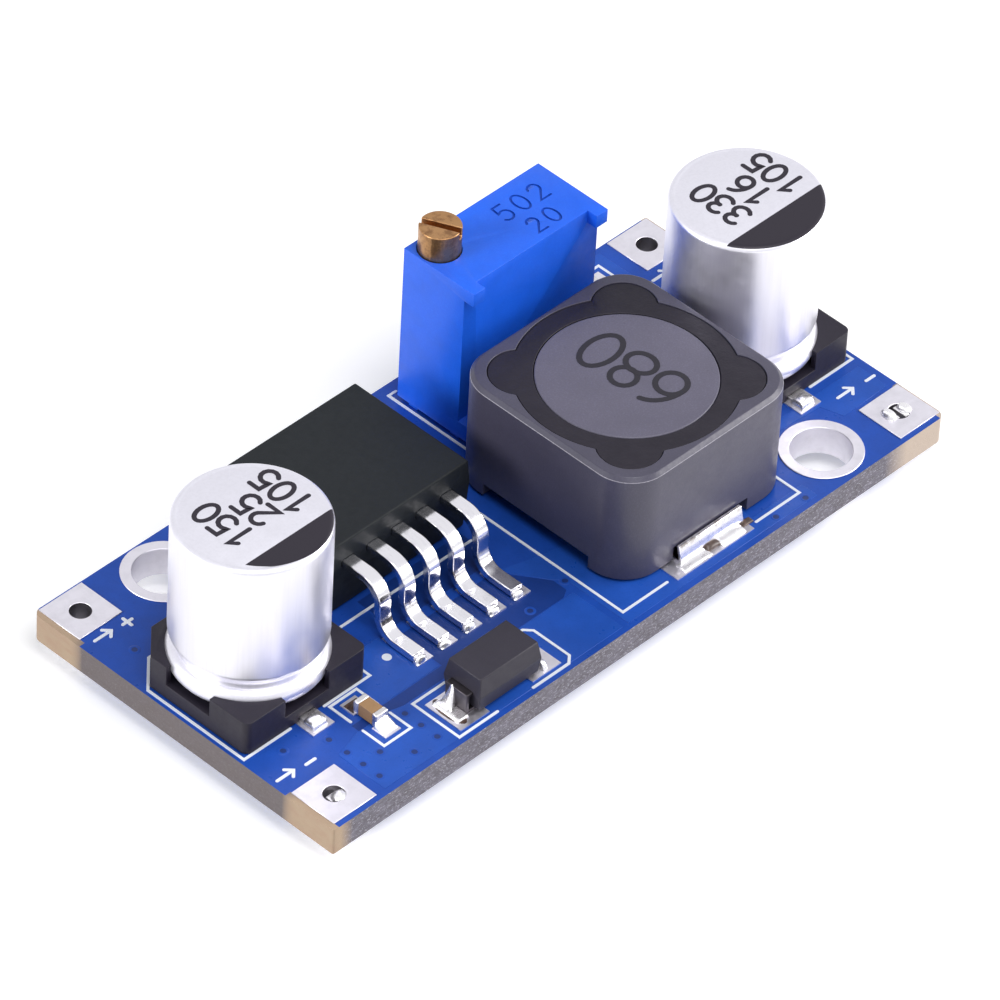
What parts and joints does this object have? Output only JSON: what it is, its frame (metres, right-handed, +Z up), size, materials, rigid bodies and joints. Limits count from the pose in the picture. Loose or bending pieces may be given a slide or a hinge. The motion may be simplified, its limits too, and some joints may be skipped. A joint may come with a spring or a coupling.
{
  "type": "buck converter module",
  "caption": "Adjustable step-down power board with can capacitors, tabbed regulator, square shielded inductor and screw trimmer.",
  "frame": {"origin": "centre of the board's underside", "axes": "+X from the input end to the output end, +Y towards the long edge that carries the trimmer, +Z up from the board"},
  "size_m": [0.0434, 0.0208, 0.0142],
  "materials": {
    "blue_board": "satin solder mask over glass-filled resin",
    "tinned_copper": "satin tin",
    "can_aluminium": "satin",
    "black_plastic": "matte",
    "tinned_lead": "satin tin",
    "package_black": "matte",
    "ferrite": "matte",
    "core_ferrite": "matte",
    "copper_wire": "enamelled",
    "dark_resin": "matte",
    "blue_plastic": "satin",
    "screw_brass": "satin",
    "solder": "bright",
    "chip_ceramic": "satin",
    "chip_black": "satin"
  },
  "bodies": {
    "board": {"circuit_board": "blue_board", "wire_terminal_pads": "tinned_copper", "mounting_hole_rings": "tinned_copper", "surface_pads": "tinned_copper", "trimmer_hole_rings": "tinned_copper", "input_capacitor_can": "can_aluminium", "input_capacitor_base": "black_plastic", "input_capacitor_leads": "tinned_lead", "output_capacitor_can": "can_aluminium", "output_capacitor_base": "black_plastic", "output_capacitor_leads": "tinned_lead", "regulator_body": "package_black", "regulator_heat_tab": "tinned_lead", "regulator_leads": "tinned_lead", "inductor_shield": "ferrite", "inductor_core": "core_ferrite", "inductor_coil": "copper_wire", "inductor_sealing_ring": "dark_resin", "inductor_terminals": "tinned_lead", "diode_body": "package_black", "diode_leads": "tinned_lead", "trimmer_housing": "blue_plastic", "trimmer_base_seal": "dark_resin", "trimmer_pins": "tinned_lead", "pin_solder_joints": "solder", "chip_capacitor_body": "chip_ceramic", "chip_capacitor_ends": "tinned_lead", "feedback_resistor_body": "chip_black", "feedback_resistor_ends": "tinned_lead"},
    "screw": {"adjusting_screw": "screw_brass"}
  },
  "joints": [
    {"name": "screw_turn", "type": "hinge", "parent": "board", "child": "screw", "pos_m": [0.00364, 0.00804, 0.0132], "axis": [0, 0, 1], "continuous": true}
  ]
}
